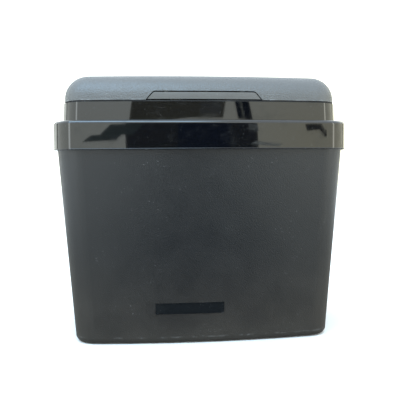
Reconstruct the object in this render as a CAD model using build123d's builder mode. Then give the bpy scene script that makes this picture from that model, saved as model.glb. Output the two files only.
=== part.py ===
"""Battery box: a tapered tub, a glossy rim frame, a hinged lid with a push latch, and the battery inside.

The box stands on Z = 0 with its front facing -Y and its right side at +X. Sizes are in millimetres.
"""

import math
import os

from build123d import *

os.makedirs("parts", exist_ok=True)

# Bowed plan outline shared by the tub, the rim frame and the lid
front_bow = 12.0
rear_bow = 3.0
side_bow = 4.0

# Tub: a drafted shell with a neck that steps in under the rim frame
tub_base_half_width = 155.0
tub_base_half_depth = 102.0
tub_step_half_width = 172.3
tub_step_half_depth = 116.6
tub_step_height = 232.0
tub_base_corner = 28.0
tub_step_corner = 34.0
tub_wall = 3.5
tub_base_round = 8.0
neck_half_width = 167.0
neck_half_depth = 111.0
neck_corner = 31.0

# Rim frame: an overhanging skirt, a shoulder and an upright collar
rim_half_width = 175.5
rim_half_depth = 120.0
rim_corner = 36.0
rim_bottom = 226.0
shoulder_top = 259.0
shoulder_thickness = 3.0
skirt_wall = 2.8
skirt_round = 4.0
collar_foot_half_width = 164.9
collar_foot_half_depth = 108.6
collar_head_half_width = 164.1
collar_head_half_depth = 107.8
collar_corner = 29.0
collar_top = 280.5
collar_inner_half_width = 160.3
collar_inner_half_depth = 104.3
collar_inner_corner = 25.0
spigot_bottom = 240.0
spigot_wall = 2.9

# Lid: a rounded shell hinged at the rear
lid_half_width = 163.4
lid_half_depth = 107.1
lid_corner = 30.0
lid_draft = 1.0
lid_bottom = 282.5
lid_top = 313.0
lid_wall = 3.0
lid_round = 27.0

# Rear hinge: two sets of knuckles on steel pins
hinge_y = 112.5
hinge_z = 281.5
hinge_centres = (-85.0, 85.0)
knuckle_radius = 4.0
knuckle_length = 15.0
knuckle_gap = 0.4
hinge_pin_radius = 1.5
hinge_bore_radius = 1.55
hinge_pin_length = 48.0

# Push latch in the front edge of the lid
tab_bottom_width = 131.0
tab_top_width = 117.0
tab_bottom = 283.3
tab_top = 291.2
tab_gap = 1.5
tab_corner = 4.5
latch_y = -100.2
latch_z = 289.0
latch_pin_radius = 1.2
latch_bore_radius = 1.25
latch_pin_length = 93.0
latch_knuckle_radius = 2.6
arm_centres = (-32.0, 32.0)
arm_width = 14.0
arm_bottom = 268.0
latch_lug_centres = (-44.0, 44.0)

# Battery, its seat and its hold-down
battery_width = 256.0
battery_depth = 170.0
mat_thickness = 3.0
case_height = 189.0
cover_height = 10.0
post_x = 104.0
post_y = -58.0
post_height = 17.0
rod_y = 92.0
rod_radius = 3.0
rod_clearance = 0.05
bar_width = 26.0
bar_thickness = 3.0

# Planes inside the front and rear walls from which windows, labels and vents are cut outwards
front_cut = Plane.XZ.offset(85)
rear_cut = Plane.XZ.offset(-125)
cut_reach = 40.0

# Heights that follow from the sizes above
mat_top = tub_wall + mat_thickness
case_top = mat_top + case_height
cover_top = case_top + cover_height
bar_top = cover_top + bar_thickness
neck_top = shoulder_top - shoulder_thickness


def plan(height, half_width, half_depth, corner):
    """The bowed outline at one height: the half sizes are those at the middle of each side."""
    corner_x = half_width - side_bow
    front_y = front_bow - half_depth
    rear_y = half_depth - rear_bow
    with BuildSketch(Plane.XY.offset(height)) as outline:
        with BuildLine():
            ThreePointArc((-corner_x, front_y), (0, -half_depth), (corner_x, front_y))
            ThreePointArc((corner_x, front_y), (half_width, 0), (corner_x, rear_y))
            ThreePointArc((corner_x, rear_y), (0, half_depth), (-corner_x, rear_y))
            ThreePointArc((-corner_x, rear_y), (-half_width, 0), (-corner_x, front_y))
        make_face()
        fillet(outline.vertices(), corner)
    return outline.sketch


def bow_drop(along, chord_half, bow):
    """How far a bowed side has fallen back from its middle, at a distance along it."""
    radius = (chord_half**2 + bow**2) / (2 * bow)
    return radius - math.sqrt(radius**2 - along**2)


def bow_slope(along, chord_half, bow):
    """The sine of the angle a bowed side has turned through, at a distance along it."""
    radius = (chord_half**2 + bow**2) / (2 * bow)
    return along / radius


def tub_section(height, inset, corner_inset=0.0):
    """The outline of the drafted tub at a height, moved inwards by an inset."""
    share = height / tub_step_height
    half_width = tub_base_half_width + share * (tub_step_half_width - tub_base_half_width)
    half_depth = tub_base_half_depth + share * (tub_step_half_depth - tub_base_half_depth)
    corner = tub_base_corner + share * (tub_step_corner - tub_base_corner)
    return plan(height, half_width - inset, half_depth - inset, corner - corner_inset)


def front_plane(x, z, half_width, half_depth):
    """A plane on a bowed front wall, its normal pointing out of the box."""
    chord_half = half_width - side_bow
    turn = bow_slope(x, chord_half, front_bow)
    point = (x, bow_drop(x, chord_half, front_bow) - half_depth, z)
    return Plane(origin=point, x_dir=(0, 0, 1), z_dir=(turn, -math.sqrt(1 - turn**2), 0))


def rear_plane(x, z, half_width, half_depth, lean=0.0):
    """A plane on a bowed rear wall that leans out by an angle, its normal pointing out of the box."""
    chord_half = half_width - side_bow
    turn = bow_slope(x, chord_half, rear_bow)
    point = (x, half_depth - bow_drop(x, chord_half, rear_bow), z)
    return Plane(origin=point, x_dir=(1, -turn, 0), z_dir=(turn, math.sqrt(1 - turn**2), -math.tan(lean)))


def side_plane(side, y, z, half_width, half_depth):
    """A plane on a bowed side wall, side 1 on the right and -1 on the left, its normal pointing out."""
    chord_half = half_depth - (front_bow + rear_bow) / 2
    turn = bow_slope(y, chord_half, side_bow)
    point = (side * (half_width - bow_drop(y, chord_half, side_bow)), y, z)
    return Plane(origin=point, x_dir=(0, 0, 1), z_dir=(side * math.sqrt(1 - turn**2), turn, 0))


# ---- rim screw places ---------------------------------------------------------------------------

screw_z = 246.0
screw_radius = 1.6
screw_hole_radius = 1.7
screw_reach = 6.2
screw_cut = 4.0
screw_head_radius = 3.4
screw_head_height = 2.0
screw_head_gap = 0.3
front_screw_x = 96.0
side_screw_y = 52.0


def inner_wall_planes():
    """Planes on the inside face of the rim's spigot at each of its eight screws."""
    planes = []
    for sign in (-1, 1):
        x = sign * front_screw_x
        planes.append(front_plane(x, screw_z, collar_inner_half_width, collar_inner_half_depth))
        planes.append(rear_plane(x, screw_z, collar_inner_half_width, collar_inner_half_depth))
        for y in (-side_screw_y, side_screw_y):
            planes.append(side_plane(sign, y, screw_z, collar_inner_half_width, collar_inner_half_depth))
    return planes


# ---- tub ----------------------------------------------------------------------------------------

grip_height = 36.0
grip_length = 104.0
grip_z = 203.0
grip_floor = 155.0
grip_corner = 10.0

grommet_x = 82.0
grommet_z = 206.0
grommet_hole_radius = 11.2
grommet_cut = 20.0
vent_count = 7
vent_pitch = 12.0
vent_width = 3.0
vent_height = 24.0
vent_z = 204.0
wall_cut = 30.0

label_x = -19.0
label_z = 42.0
label_width = 80.0
label_height = 13.0
label_corner = 1.5
label_depth = 0.6
label_proud = 0.4

anchor_width = 20.0
anchor_height = 12.0
anchor_half_depth = 5.2
anchor_hole_bottom = 6.0

# Air space of the tub: tapered body, then the narrower neck
cavity_top = tub_step_height - tub_wall
neck_inset = tub_wall
with BuildPart() as tub_cavity:
    loft([tub_section(tub_wall, tub_wall, tub_wall), tub_section(cavity_top, tub_wall, tub_wall)], ruled=True)
    fillet(tub_cavity.faces().sort_by(Axis.Z)[0].edges(), tub_base_round - tub_wall)
    extrude(
        plan(
            cavity_top,
            neck_half_width - neck_inset,
            neck_half_depth - neck_inset,
            neck_corner - neck_inset,
        ),
        amount=neck_top - cavity_top + 1,
    )

# Layer of the front wall between the label's back and a little outside the tub
with BuildPart() as label_window:
    with BuildSketch(front_cut):
        with Locations((label_x, label_z)):
            RectangleRounded(label_width, label_height, label_corner)
    extrude(amount=cut_reach)

with BuildPart() as label_layer:
    loft([tub_section(0, -label_proud), tub_section(tub_step_height, -label_proud)], ruled=True)
    loft(
        [tub_section(0, label_depth), tub_section(tub_step_height, label_depth)],
        ruled=True,
        mode=Mode.SUBTRACT,
    )
    add(label_window.part, mode=Mode.INTERSECT)

wall_lean = math.atan((tub_step_half_depth - tub_base_half_depth) / tub_step_height)
grommet_half_depth = tub_base_half_depth + grommet_z * math.tan(wall_lean)
grommet_half_width = tub_base_half_width + grommet_z * math.tan(wall_lean)

with BuildPart() as tub_block:
    loft([tub_section(0, 0), tub_section(tub_step_height, 0)], ruled=True)
    fillet(tub_block.faces().sort_by(Axis.Z)[0].edges(), tub_base_round)

# Inner walls of the hand grips, each reaching from the pocket floor out to the tub's own face
with BuildPart() as grip_walls:
    for side in (-1, 1):
        with BuildSketch(Plane.YZ.offset(side * (grip_floor - tub_wall))):
            with Locations((0, grip_z)):
                RectangleRounded(
                    grip_length + 2 * tub_wall,
                    grip_height + 2 * tub_wall,
                    grip_corner + tub_wall,
                )
        extrude(amount=side * wall_cut)
    add(tub_block.part, mode=Mode.INTERSECT)

with BuildPart() as tub:
    add(tub_block.part)
    extrude(
        plan(tub_step_height, neck_half_width, neck_half_depth, neck_corner),
        amount=neck_top - tub_step_height,
    )
    add(tub_cavity.part, mode=Mode.SUBTRACT)
    # Hand grips: a pocket pressed into each side wall under the skirt
    add(grip_walls.part)
    for side in (-1, 1):
        with BuildSketch(Plane.YZ.offset(side * grip_floor)):
            with Locations((0, grip_z)):
                RectangleRounded(grip_length, grip_height, grip_corner)
        extrude(amount=side * wall_cut, mode=Mode.SUBTRACT)
    # Anchors for the hold-down rods, on the floor against the front and rear walls
    for end in (-1, 1):
        with BuildSketch(Plane.XY.offset(tub_wall - 1)):
            with Locations((0, end * rod_y)):
                Rectangle(anchor_width, 2 * anchor_half_depth)
        extrude(amount=anchor_height)
        with Locations((0, end * rod_y, tub_wall + anchor_height - 1)):
            Hole(rod_radius + rod_clearance, depth=tub_wall + anchor_height - 1 - anchor_hole_bottom)
    # Cable holes and vent slots in the rear wall
    for side in (-1, 1):
        x = side * grommet_x
        hole_plane = rear_plane(x, grommet_z, grommet_half_width, grommet_half_depth, wall_lean)
        with BuildSketch(hole_plane.offset(grommet_cut / 2)):
            Circle(grommet_hole_radius)
        extrude(amount=-grommet_cut, mode=Mode.SUBTRACT)
    with BuildSketch(rear_cut):
        with Locations((0, vent_z)):
            with GridLocations(vent_pitch, 0, vent_count, 1):
                SlotOverall(vent_height, vent_width, rotation=90)
    extrude(amount=cut_reach, mode=Mode.SUBTRACT)
    # Holes in the neck for the screws that hold the rim frame
    for wall in inner_wall_planes():
        with BuildSketch(wall.offset(screw_reach + screw_cut)):
            Circle(screw_hole_radius)
        extrude(amount=-screw_reach - 2 * screw_cut, mode=Mode.SUBTRACT)
    # Shallow seat for the label plate
    add(label_layer.part, mode=Mode.SUBTRACT)
tub.part.label = "tub"
export_step(tub.part, "parts/tub.step")

# ---- label plate --------------------------------------------------------------------------------

label_edge_gap = 0.15
with BuildPart() as label_plate:
    add(label_layer.part)
    with BuildSketch(front_cut):
        with Locations((label_x, label_z)):
            RectangleRounded(
                label_width - 2 * label_edge_gap,
                label_height - 2 * label_edge_gap,
                label_corner,
            )
    extrude(amount=cut_reach, mode=Mode.INTERSECT)
label_plate.part.label = "label_plate"
export_step(label_plate.part, "parts/label_plate.step")

# ---- cable grommets -----------------------------------------------------------------------------

grommet_neck_radius = 11.0
grommet_flange_radius = 15.0
grommet_bore_radius = 6.5
grommet_face_gap = 0.35
grommet_flange = 2.4
grommet_round = 1.0
grommet_inner_step = 1.5

for side, grommet_name in ((-1, "cable_grommet_left"), (1, "cable_grommet_right")):
    wall = rear_plane(side * grommet_x, grommet_z, grommet_half_width, grommet_half_depth, wall_lean)
    neck_depth = tub_wall + grommet_face_gap
    with BuildPart() as grommet:
        with BuildSketch(wall.offset(grommet_face_gap)):
            Circle(grommet_flange_radius)
        extrude(amount=grommet_flange)
        with BuildSketch(wall.offset(-neck_depth)):
            Circle(grommet_neck_radius)
        extrude(amount=neck_depth + grommet_face_gap)
        with BuildSketch(wall.offset(-neck_depth - grommet_flange)):
            Circle(grommet_flange_radius - grommet_inner_step)
        extrude(amount=grommet_flange)
        with BuildSketch(wall.offset(-grommet_cut)):
            Circle(grommet_bore_radius)
        extrude(amount=2 * grommet_cut, mode=Mode.SUBTRACT)
        rims = grommet.edges().filter_by(GeomType.CIRCLE).group_by(SortBy.RADIUS)[-1]
        fillet(rims, grommet_round)
    grommet.part.label = grommet_name
    export_step(grommet.part, f"parts/{grommet_name}.step")

# ---- rim frame ----------------------------------------------------------------------------------

spigot_half_width = collar_inner_half_width + spigot_wall
spigot_half_depth = collar_inner_half_depth + spigot_wall
web_depth = 7.0
web_drop = 12.0
web_top_gap = 1.2

with BuildPart() as rim_frame:
    extrude(plan(rim_bottom, rim_half_width, rim_half_depth, rim_corner), amount=shoulder_top - rim_bottom)
    fillet(rim_frame.faces().sort_by(Axis.Z)[-1].edges(), skirt_round)
    extrude(
        plan(
            rim_bottom,
            rim_half_width - skirt_wall,
            rim_half_depth - skirt_wall,
            rim_corner - skirt_wall,
        ),
        amount=neck_top - rim_bottom,
        mode=Mode.SUBTRACT,
    )
    extrude(
        plan(spigot_bottom, spigot_half_width, spigot_half_depth, collar_inner_corner + spigot_wall),
        amount=shoulder_top - spigot_bottom,
    )
    loft(
        [
            plan(shoulder_top - 1, collar_foot_half_width, collar_foot_half_depth, collar_corner),
            plan(collar_top, collar_head_half_width, collar_head_half_depth, collar_corner),
        ],
        ruled=True,
    )
    # Hinge webs and outer knuckles on the rear of the collar
    for centre in hinge_centres:
        for sign in (-1, 1):
            reach = knuckle_length + knuckle_gap
            with BuildSketch(Plane.YZ.offset(centre + sign * reach)) as knuckle_profile:
                with BuildLine():
                    Polyline(
                        (hinge_y - web_depth, hinge_z - web_drop),
                        (hinge_y - web_depth, hinge_z - web_top_gap),
                        (hinge_y, hinge_z),
                        (hinge_y + knuckle_radius, hinge_z),
                        close=True,
                    )
                make_face()
                with Locations((hinge_y, hinge_z)):
                    Circle(knuckle_radius)
            extrude(amount=knuckle_length / 2, both=True)
    extrude(
        plan(spigot_bottom, collar_inner_half_width, collar_inner_half_depth, collar_inner_corner),
        amount=collar_top - spigot_bottom + 1,
        mode=Mode.SUBTRACT,
    )
    with BuildSketch(Plane.YZ.offset(-rim_half_width)):
        with Locations((hinge_y, hinge_z)):
            Circle(hinge_bore_radius)
    extrude(amount=2 * rim_half_width, mode=Mode.SUBTRACT)
    for wall in inner_wall_planes():
        with BuildSketch(wall.offset(-1)):
            Circle(screw_hole_radius)
        extrude(amount=screw_reach - 1, mode=Mode.SUBTRACT)
rim_frame.part.label = "rim_frame"
export_step(rim_frame.part, "parts/rim_frame.step")

# ---- rim screws, seal and hinge pins ------------------------------------------------------------

with BuildPart() as rim_screws:
    for wall in inner_wall_planes():
        with BuildSketch(wall.offset(-screw_head_height - screw_head_gap)):
            Circle(screw_head_radius)
        extrude(amount=screw_head_height)
        with BuildSketch(wall.offset(-screw_head_height)):
            Circle(screw_radius)
        extrude(amount=screw_head_height + screw_reach)
rim_screws.part.label = "rim_screws"
export_step(rim_screws.part, "parts/rim_screws.step")

seal_outer_inset = 1.2
seal_inner_inset = 3.2
seal_height = 1.5
with BuildPart() as rim_seal:
    extrude(
        plan(
            collar_top,
            collar_head_half_width - seal_outer_inset,
            collar_head_half_depth - seal_outer_inset,
            collar_corner - seal_outer_inset,
        ),
        amount=seal_height,
    )
    extrude(
        plan(
            collar_top,
            collar_head_half_width - seal_inner_inset,
            collar_head_half_depth - seal_inner_inset,
            collar_corner - seal_inner_inset,
        ),
        amount=seal_height,
        mode=Mode.SUBTRACT,
    )
rim_seal.part.label = "rim_seal"
export_step(rim_seal.part, "parts/rim_seal.step")

for centre, pin_name in zip(hinge_centres, ("hinge_pin_left", "hinge_pin_right")):
    with BuildPart() as hinge_pin:
        with BuildSketch(Plane.YZ.offset(centre)):
            with Locations((hinge_y, hinge_z)):
                Circle(hinge_pin_radius)
        extrude(amount=hinge_pin_length / 2, both=True)
        chamfer(hinge_pin.edges().filter_by(GeomType.CIRCLE), 0.3)
    hinge_pin.part.label = pin_name
    export_step(hinge_pin.part, f"parts/{pin_name}.step")

# ---- lid ----------------------------------------------------------------------------------------

liner_screw_x = 112.0
liner_screw_y = 62.0
liner_bottom = 303.0
liner_thickness = 3.0
boss_radius = 4.5
boss_hole_radius = 1.5
lug_width = 4.0
lug_bottom = 286.8
lug_root = 292.9
lug_top = 298.0
lug_inner_y = -97.2
lug_front_y = -102.0
lug_back_y = latch_y - 5.2
web_root_y = lid_half_depth - lid_wall - 0.5
spring_block_half_width = 7.0
bore_gap = 0.3
tab_slope = (tab_bottom_width - tab_top_width) / 2 / (tab_top - tab_bottom)


def tab_outline(margin, bottom, top):
    """The latch tab in the front plane, its top corners rounded, grown by a margin on its slanted sides."""
    bottom_half = tab_bottom_width / 2 + margin + (tab_bottom - bottom) * tab_slope
    top_half = tab_bottom_width / 2 + margin - (top - tab_bottom) * tab_slope
    with BuildSketch(front_cut) as outline:
        with BuildLine():
            Polyline(
                (-bottom_half, bottom),
                (bottom_half, bottom),
                (top_half, top),
                (-top_half, top),
                close=True,
            )
        make_face()
        fillet(outline.vertices().group_by(Axis.Y)[-1], tab_corner + margin)
    return outline.sketch


with BuildPart() as lid_block:
    loft(
        [
            plan(lid_bottom, lid_half_width, lid_half_depth, lid_corner),
            plan(lid_top, lid_half_width - lid_draft, lid_half_depth - lid_draft, lid_corner),
        ],
        ruled=True,
    )
    fillet(lid_block.faces().sort_by(Axis.Z)[-1].edges(), lid_round)

inner_corner = lid_corner - lid_wall
with BuildPart() as lid_hollow:
    loft(
        [
            plan(lid_bottom, lid_half_width - lid_wall, lid_half_depth - lid_wall, inner_corner),
            plan(
                lid_top - lid_wall,
                lid_half_width - lid_draft - lid_wall,
                lid_half_depth - lid_draft - lid_wall,
                inner_corner,
            ),
        ],
        ruled=True,
    )
    fillet(lid_hollow.faces().sort_by(Axis.Z)[-1].edges(), lid_round - lid_wall)

with BuildPart() as lid_shell:
    add(lid_block.part)
    add(lid_hollow.part, mode=Mode.SUBTRACT)
    extrude(tab_outline(tab_gap, lid_bottom - 1, tab_top + tab_gap), amount=cut_reach, mode=Mode.SUBTRACT)
    # Bosses for the liner screws, grown down from the roof
    with BuildSketch(Plane.XY.offset(liner_bottom + liner_thickness)):
        with GridLocations(2 * liner_screw_x, 2 * liner_screw_y, 2, 2):
            Circle(boss_radius)
    extrude(amount=lid_top - lid_wall + 1 - liner_bottom - liner_thickness)
    with BuildSketch(Plane.XY.offset(liner_bottom)):
        with GridLocations(2 * liner_screw_x, 2 * liner_screw_y, 2, 2):
            Circle(boss_hole_radius)
    extrude(amount=lid_top - lid_wall - 1 - liner_bottom, mode=Mode.SUBTRACT)
    # Lugs that hold the latch pin, and the block the latch spring is fixed to
    for centre in latch_lug_centres:
        with BuildSketch(Plane.YZ.offset(centre)):
            with BuildLine():
                Polyline(
                    (lug_back_y, lug_root),
                    (lug_front_y, lug_root),
                    (lug_front_y, lug_bottom),
                    (lug_inner_y, lug_bottom),
                    (lug_inner_y, lug_top),
                    (lug_back_y, lug_top),
                    close=True,
                )
            make_face()
        extrude(amount=lug_width / 2, both=True)
    with BuildSketch(Plane.YZ):
        with Locations(((lug_inner_y + lug_back_y) / 2, (lug_root + lug_top) / 2)):
            Rectangle(lug_inner_y - lug_back_y, lug_top - lug_root)
    extrude(amount=spring_block_half_width, both=True)
    add(lid_block.part, mode=Mode.INTERSECT)
    with BuildSketch(Plane.YZ.offset(-latch_pin_length / 2 - bore_gap)):
        with Locations((latch_y, latch_z)):
            Circle(latch_bore_radius)
    extrude(amount=latch_pin_length + 2 * bore_gap, mode=Mode.SUBTRACT)
    # Hinge webs and middle knuckles
    for centre in hinge_centres:
        with BuildSketch(Plane.YZ.offset(centre)):
            with BuildLine():
                Polyline(
                    (web_root_y, lid_bottom + 0.4),
                    (hinge_y, hinge_z + 0.4),
                    (hinge_y + 2.0, hinge_z + 3.4),
                    (hinge_y - 1.0, hinge_z + 4.6),
                    (web_root_y, hinge_z + 6.2),
                    close=True,
                )
            make_face()
            with Locations((hinge_y, hinge_z)):
                Circle(knuckle_radius)
        extrude(amount=knuckle_length / 2, both=True)
        with BuildSketch(Plane.YZ.offset(centre)):
            with Locations((hinge_y, hinge_z)):
                Circle(hinge_bore_radius)
        extrude(amount=knuckle_length, both=True, mode=Mode.SUBTRACT)
lid_shell.part.label = "lid_shell"
export_step(lid_shell.part, "parts/lid_shell.step")

liner_half_width = 149.0
liner_half_depth = 93.0
liner_corner = 20.0
liner_round = 1.2
liner_hole_radius = 1.7
with BuildPart() as lid_liner:
    extrude(plan(liner_bottom, liner_half_width, liner_half_depth, liner_corner), amount=liner_thickness)
    fillet(lid_liner.faces().sort_by(Axis.Z)[0].edges(), liner_round)
    with BuildSketch(Plane.XY.offset(liner_bottom)):
        with GridLocations(2 * liner_screw_x, 2 * liner_screw_y, 2, 2):
            Circle(liner_hole_radius)
    extrude(amount=liner_thickness, mode=Mode.SUBTRACT)
lid_liner.part.label = "lid_liner"
export_step(lid_liner.part, "parts/lid_liner.step")

base_align = (Align.CENTER, Align.CENTER, Align.MIN)
liner_screw_length = 5.6
liner_screw_radius = 1.4
liner_head_radius = 3.0
liner_head_height = 1.8
with BuildPart() as liner_screws:
    with GridLocations(2 * liner_screw_x, 2 * liner_screw_y, 2, 2):
        with Locations((0, 0, liner_bottom - liner_head_height)):
            Cylinder(liner_head_radius, liner_head_height, align=base_align)
            Cylinder(liner_screw_radius, liner_head_height + liner_screw_length, align=base_align)
liner_screws.part.label = "liner_screws"
export_step(liner_screws.part, "parts/liner_screws.step")

# ---- latch --------------------------------------------------------------------------------------

arm_outer_y = -101.2
arm_thickness = 3.0
arm_root_top = 288.0
arm_root_depth = 3.2
arm_root_height = 4.0
barb_depth = 0.3
barb_height = 3.0
latch_knuckle_centres = (-18.0, 18.0)
latch_knuckle_length = 12.0
latch_web_reach = 3.8
latch_web_height = 4.2

with BuildPart() as latch_tab:
    add(lid_block.part)
    add(lid_hollow.part, mode=Mode.SUBTRACT)
    extrude(tab_outline(0.0, tab_bottom, tab_top), amount=cut_reach, mode=Mode.INTERSECT)
    for centre in arm_centres:
        with BuildSketch(Plane.YZ.offset(centre)):
            with BuildLine():
                Polyline(
                    (arm_outer_y - arm_root_depth, arm_root_top - arm_root_height),
                    (arm_outer_y, arm_root_top - arm_root_height),
                    (arm_outer_y, arm_bottom + 2 * barb_height),
                    (arm_outer_y - barb_depth, arm_bottom + barb_height),
                    (arm_outer_y, arm_bottom),
                    (arm_outer_y + arm_thickness, arm_bottom),
                    (arm_outer_y + arm_thickness, arm_root_top),
                    (arm_outer_y - arm_root_depth, arm_root_top),
                    close=True,
                )
            make_face()
        extrude(amount=arm_width / 2, both=True)
    for centre in latch_knuckle_centres:
        with BuildSketch(Plane.YZ.offset(centre)):
            with Locations((latch_y, latch_z)):
                Circle(latch_knuckle_radius)
            with Locations((latch_y - latch_web_reach / 2, latch_z)):
                Rectangle(latch_web_reach, latch_web_height)
        extrude(amount=latch_knuckle_length / 2, both=True)
    with BuildSketch(Plane.YZ.offset(-latch_pin_length / 2)):
        with Locations((latch_y, latch_z)):
            Circle(latch_bore_radius)
    extrude(amount=latch_pin_length, mode=Mode.SUBTRACT)
latch_tab.part.label = "latch_tab"
export_step(latch_tab.part, "parts/latch_tab.step")

with BuildPart() as latch_pin:
    with BuildSketch(Plane.YZ):
        with Locations((latch_y, latch_z)):
            Circle(latch_pin_radius)
    extrude(amount=latch_pin_length / 2, both=True)
latch_pin.part.label = "latch_pin"
export_step(latch_pin.part, "parts/latch_pin.step")

spring_thickness = 0.4
spring_half_width = 5.0
spring_bend = 1.5
with BuildPart() as latch_spring:
    with BuildSketch(Plane.YZ):
        with BuildLine():
            spring_line = FilletPolyline(
                (lug_inner_y + 0.2, lug_top - 0.5),
                (lug_inner_y + 0.2, latch_z),
                (latch_y - 1.1, latch_z - 4.4),
                radius=spring_bend,
            )
            offset(spring_line, amount=spring_thickness, side=Side.LEFT)
        make_face()
    extrude(amount=spring_half_width, both=True)
latch_spring.part.label = "latch_spring"
export_step(latch_spring.part, "parts/latch_spring.step")

# Strike plate on the inside of the collar, with a window behind each barb
keeper_half_width = 60.0
keeper_bottom = 264.0
keeper_top = 277.0
keeper_thickness = 1.2
keeper_screw_x = 52.0
keeper_screw_z = 270.5
keeper_window = (16.0, 5.0)
keeper_corner = 2.0
keeper_hole_radius = 1.7
with BuildPart() as latch_keeper:
    extrude(
        plan(keeper_bottom, collar_inner_half_width, collar_inner_half_depth, collar_inner_corner),
        amount=keeper_top - keeper_bottom,
    )
    extrude(
        plan(
            keeper_bottom,
            collar_inner_half_width - keeper_thickness,
            collar_inner_half_depth - keeper_thickness,
            collar_inner_corner - keeper_thickness,
        ),
        amount=keeper_top - keeper_bottom,
        mode=Mode.SUBTRACT,
    )
    with BuildSketch(front_cut):
        with Locations((0, (keeper_bottom + keeper_top) / 2)):
            RectangleRounded(2 * keeper_half_width, keeper_top - keeper_bottom, keeper_corner)
    extrude(amount=cut_reach, mode=Mode.INTERSECT)
    with BuildSketch(front_cut):
        with Locations(*[(x, keeper_screw_z) for x in arm_centres]):
            Rectangle(*keeper_window)
        with Locations((-keeper_screw_x, keeper_screw_z), (keeper_screw_x, keeper_screw_z)):
            Circle(keeper_hole_radius)
    extrude(amount=cut_reach, mode=Mode.SUBTRACT)
latch_keeper.part.label = "latch_keeper"
export_step(latch_keeper.part, "parts/latch_keeper.step")

keeper_screw_head = 1.4
keeper_head_radius = 2.8
keeper_screw_radius = 1.5
keeper_screw_gap = 0.1
with BuildPart() as keeper_screws:
    for x in (-keeper_screw_x, keeper_screw_x):
        wall = front_plane(x, keeper_screw_z, collar_inner_half_width, collar_inner_half_depth)
        with BuildSketch(wall.offset(-keeper_thickness - keeper_screw_head - keeper_screw_gap)):
            Circle(keeper_head_radius)
        extrude(amount=keeper_screw_head)
        with BuildSketch(wall.offset(-keeper_thickness - keeper_screw_head)):
            Circle(keeper_screw_radius)
        extrude(amount=keeper_thickness + keeper_screw_head - keeper_screw_gap)
keeper_screws.part.label = "keeper_screws"
export_step(keeper_screws.part, "parts/keeper_screws.step")

# ---- vent filter --------------------------------------------------------------------------------

filter_thickness = 3.0
filter_margin = 6.0
filter_corner = 4.0
filter_gap = 0.1
with BuildPart() as vent_filter:
    loft(
        [
            tub_section(tub_wall, tub_wall + filter_gap),
            tub_section(cavity_top, tub_wall + filter_gap),
        ],
        ruled=True,
    )
    loft(
        [
            tub_section(tub_wall, tub_wall + filter_thickness),
            tub_section(cavity_top, tub_wall + filter_thickness),
        ],
        ruled=True,
        mode=Mode.SUBTRACT,
    )
    with BuildSketch(rear_cut):
        with Locations((0, vent_z)):
            RectangleRounded(
                vent_pitch * vent_count + 2 * filter_margin,
                vent_height + 2 * filter_margin,
                filter_corner,
            )
    extrude(amount=cut_reach, mode=Mode.INTERSECT)
vent_filter.part.label = "vent_filter"
export_step(vent_filter.part, "parts/vent_filter.step")

# ---- battery ------------------------------------------------------------------------------------

battery_corner = 5.0
mat_inset = 1.5
groove_depth = 1.2
groove_width = 3.0
groove_pitch = 14.0
groove_count = 17
with BuildPart() as battery_mat:
    with BuildSketch(Plane.XY.offset(tub_wall)):
        RectangleRounded(battery_width - 2 * mat_inset, battery_depth - 2 * mat_inset, battery_corner)
    extrude(amount=mat_thickness)
    with BuildSketch(Plane.XY.offset(mat_top - groove_depth)):
        with GridLocations(groove_pitch, 0, groove_count, 1):
            Rectangle(groove_width, battery_depth)
    extrude(amount=groove_depth, mode=Mode.SUBTRACT)
battery_mat.part.label = "battery_mat"
export_step(battery_mat.part, "parts/battery_mat.step")

base_flange = 1.5
flange_height = 12.0
cell_count = 6
cell_pitch = battery_width / cell_count
panel_gap = 8.0
panel_margin = 44.0
panel_lift = 6.0
panel_depth = 1.2
panel_corner = 3.0
with BuildPart() as battery_case:
    with BuildSketch(Plane.XY.offset(mat_top)):
        RectangleRounded(battery_width + 2 * base_flange, battery_depth + 2 * base_flange, battery_corner)
    extrude(amount=flange_height)
    with BuildSketch(Plane.XY.offset(mat_top)):
        RectangleRounded(battery_width, battery_depth, battery_corner)
    extrude(amount=case_height)
    # Shallow stiffening panels between the cell walls, front and rear
    for end in (-1, 1):
        with BuildSketch(Plane.XZ.offset(end * battery_depth / 2)):
            with Locations((0, mat_top + case_height / 2 + panel_lift)):
                with GridLocations(cell_pitch, 0, cell_count, 1):
                    RectangleRounded(cell_pitch - panel_gap, case_height - panel_margin, panel_corner)
        extrude(amount=-end * panel_depth, mode=Mode.SUBTRACT)
battery_case.part.label = "battery_case"
export_step(battery_case.part, "parts/battery_case.step")

post_boss_radius = 13.0
post_boss_height = 3.0
plug_x = (-98.0, -66.0, -34.0, 34.0, 66.0, 98.0)
plug_y = 12.0
plug_radius = 9.0
plug_height = 4.0
cap_hinge_y = 19.0
cap_hinge_z = cover_top + 6.0
ear_width = 4.0
ear_centre = 9.5
ear_radius = 3.0
cover_lip = 1.0
cover_round = 2.0
ridge_x = 66.0
ridge_size = (94.0, 26.0)
ridge_corner = 6.0
ridge_height = 2.0
plug_neck_radius = 6.9
plug_hole_radius = 7.0
plug_depth = 4.0
cap_pin_radius = 1.0
cap_bore_radius = 1.05

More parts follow.
